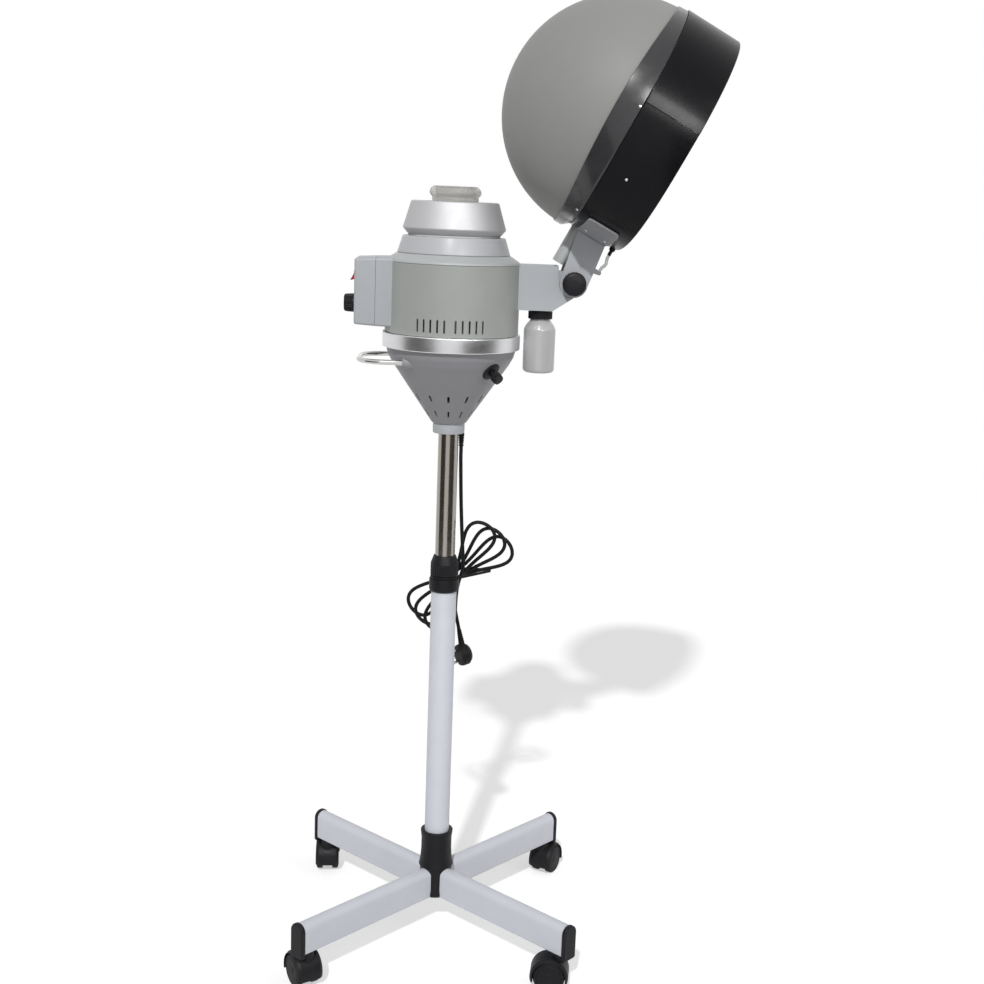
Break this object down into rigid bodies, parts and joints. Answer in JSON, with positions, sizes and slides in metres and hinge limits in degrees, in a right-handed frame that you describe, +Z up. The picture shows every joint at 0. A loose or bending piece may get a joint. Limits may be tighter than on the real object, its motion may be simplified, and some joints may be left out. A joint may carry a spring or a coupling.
{
  "type": "hair steamer on a rolling stand",
  "caption": "Salon hair steamer: a tilting grey hood with a black visor on a boiler head, carried by a height-adjustable mast on a four-legged base with casters.",
  "frame": {"origin": "on the floor, below the middle of the object, lead left out", "axes": "+Z up, +X towards the hood, -Y towards the side that the picture shows"},
  "size_m": [0.6547, 0.4674, 1.5246],
  "materials": {
    "white_paint": "smooth white powder coat",
    "grey_paint": "smooth light grey paint, slight sheen",
    "black_plastic": "black moulded plastic, fine grain",
    "black_rubber": "black soft-touch rubber",
    "chrome": "bright plated tube",
    "light_grey_plastic": "light grey moulded plastic",
    "dark_grey_plastic": "mid grey moulded plastic",
    "steel": "bare steel sheet and tube",
    "aluminium": "bright spun aluminium",
    "white_silicone": "white silicone",
    "clear_plastic": "clear plastic",
    "red_plastic": "red translucent plastic",
    "milky_plastic": "milky translucent plastic",
    "dome_grey_gloss": "glossy smoky grey plastic",
    "black_gloss": "glossy black plastic"
  },
  "bodies": {
    "base": {"hub": "black_plastic", "leg_front_right": "white_paint", "leg_back_right": "white_paint", "leg_back_left": "white_paint", "leg_front_left": "white_paint", "leg_cap_front_right": "black_plastic", "leg_cap_back_right": "black_plastic", "leg_cap_back_left": "black_plastic", "leg_cap_front_left": "black_plastic", "column_tube": "white_paint", "lock_sleeve": "black_plastic", "cord_hank": "black_rubber", "cord_drop": "black_rubber", "cord_tail": "black_rubber", "cord_tie": "black_rubber", "plug": "black_rubber"},
    "lock_ring": {"lock_ring": "black_plastic"},
    "mast": {"mast_tube": "chrome", "cord_gland": "black_rubber"},
    "head": {"head_socket": "light_grey_plastic", "boiler_stand": "steel", "boiler": "aluminium", "heating_element": "steel", "lid_seal": "white_silicone", "head_cone": "dark_grey_plastic", "head_band": "aluminium", "jacket": "grey_paint", "shoulder": "light_grey_plastic", "neck_ring": "light_grey_plastic", "box_base": "light_grey_plastic", "box_cover": "light_grey_plastic", "timer_body": "black_plastic", "grab_handle": "chrome", "drain_flange": "black_plastic", "arm": "light_grey_plastic", "steam_duct": "white_silicone", "bottle_cap": "black_plastic"},
    "lid": {"lid": "aluminium"},
    "filler_cap": {"filler_cap": "clear_plastic"},
    "rocker": {"rocker": "red_plastic"},
    "timer_knob": {"timer_knob": "black_plastic"},
    "drain_cap": {"drain_cap": "black_plastic"},
    "bottle": {"bottle": "milky_plastic"},
    "hood": {"dome": "dome_grey_gloss", "hood_collar": "black_gloss", "hood_back_wall": "black_gloss", "visor": "black_gloss", "hood_saddle": "dark_grey_plastic", "hood_bracket": "light_grey_plastic", "hood_steam_pipe": "light_grey_plastic", "drain_hose": "clear_plastic"},
    "clamp_knob": {"clamp_knob": "black_plastic"},
    "caster_front_right": {"caster_front_right": "black_plastic"},
    "wheels_front_right": {"wheels_front_right": "black_rubber"},
    "caster_back_right": {"caster_back_right": "black_plastic"},
    "wheels_back_right": {"wheels_back_right": "black_rubber"},
    "caster_back_left": {"caster_back_left": "black_plastic"},
    "wheels_back_left": {"wheels_back_left": "black_rubber"},
    "caster_front_left": {"caster_front_left": "black_plastic"},
    "wheels_front_left": {"wheels_front_left": "black_rubber"}
  },
  "joints": [
    {"name": "caster_front_right_swivel", "type": "hinge", "parent": "base", "child": "caster_front_right", "pos_m": [0.10503, -0.20613, 0.06], "axis": [0, 0, 1], "continuous": true},
    {"name": "wheels_front_right_roll", "type": "hinge", "parent": "caster_front_right", "child": "wheels_front_right", "pos_m": [0.09117, -0.20419, 0.025], "axis": [-0.1392, -0.9903, 0], "continuous": true},
    {"name": "caster_back_right_swivel", "type": "hinge", "parent": "base", "child": "caster_back_right", "pos_m": [0.10503, 0.18702, 0.06], "axis": [0, 0, 1], "continuous": true},
    {"name": "wheels_back_right_roll", "type": "hinge", "parent": "caster_back_right", "child": "wheels_back_right", "pos_m": [0.11203, 0.19914, 0.025], "axis": [-0.866, 0.5, 0], "continuous": true},
    {"name": "caster_back_left_swivel", "type": "hinge", "parent": "base", "child": "caster_back_left", "pos_m": [-0.28812, 0.18702, 0.06], "axis": [0, 0, 1], "continuous": true},
    {"name": "wheels_back_left_roll", "type": "hinge", "parent": "caster_back_left", "child": "wheels_back_left", "pos_m": [-0.28861, 0.20101, 0.025], "axis": [-0.9994, -0.0349, 0], "continuous": true},
    {"name": "caster_front_left_swivel", "type": "hinge", "parent": "base", "child": "caster_front_left", "pos_m": [-0.28812, -0.20613, 0.06], "axis": [0, 0, 1], "continuous": true},
    {"name": "wheels_front_left_roll", "type": "hinge", "parent": "caster_front_left", "child": "wheels_front_left", "pos_m": [-0.29512, -0.19401, 0.025], "axis": [-0.866, -0.5, 0], "continuous": true},
    {"name": "lock_twist", "type": "hinge", "parent": "base", "child": "lock_ring", "pos_m": [-0.09155, -0.00956, 0.63], "axis": [0, 0, 1], "range_deg": [0, 90]},
    {"name": "mast_height", "type": "slide", "parent": "base", "child": "mast", "axis": [0, 0, 1], "range_m": [-0.15, 0.2], "deforming": ["cord_drop"]},
    {"name": "head_swivel", "type": "hinge", "parent": "mast", "child": "head", "pos_m": [-0.09155, -0.00956, 0.86], "axis": [0, 0, 1], "range_deg": [-170, 170]},
    {"name": "lid_lift", "type": "slide", "parent": "head", "child": "lid", "axis": [0, 0, 1], "range_m": [0, 0.1]},
    {"name": "filler_cap_lift", "type": "slide", "parent": "lid", "child": "filler_cap", "axis": [0, 0, 1], "range_m": [0, 0.05]},
    {"name": "switch_rock", "type": "hinge", "parent": "head", "child": "rocker", "pos_m": [-0.24155, -0.00956, 1.0945], "axis": [0, 1, 0], "range_deg": [-16, 0]},
    {"name": "timer_turn", "type": "hinge", "parent": "head", "child": "timer_knob", "pos_m": [-0.24155, -0.00956, 1.049], "axis": [1, 0, 0], "range_deg": [0, 300]},
    {"name": "drain_cap_turn", "type": "hinge", "parent": "head", "child": "drain_cap", "pos_m": [-0.0308, -0.0703, 0.957], "axis": [0.5839, -0.5839, -0.5639], "range_deg": [0, 90]},
    {"name": "bottle_pull", "type": "slide", "parent": "head", "child": "bottle", "axis": [0, 0, -1], "range_m": [0, 0.1]},
    {"name": "hood_tilt", "type": "hinge", "parent": "head", "child": "hood", "pos_m": [0.09445, -0.00956, 1.092], "axis": [0, 1, 0], "range_deg": [-6, 62]},
    {"name": "clamp_turn", "type": "hinge", "parent": "hood", "child": "clamp_knob", "pos_m": [0.09445, -0.00956, 1.092], "axis": [0, -1, 0], "range_deg": [0, 180]}
  ]
}
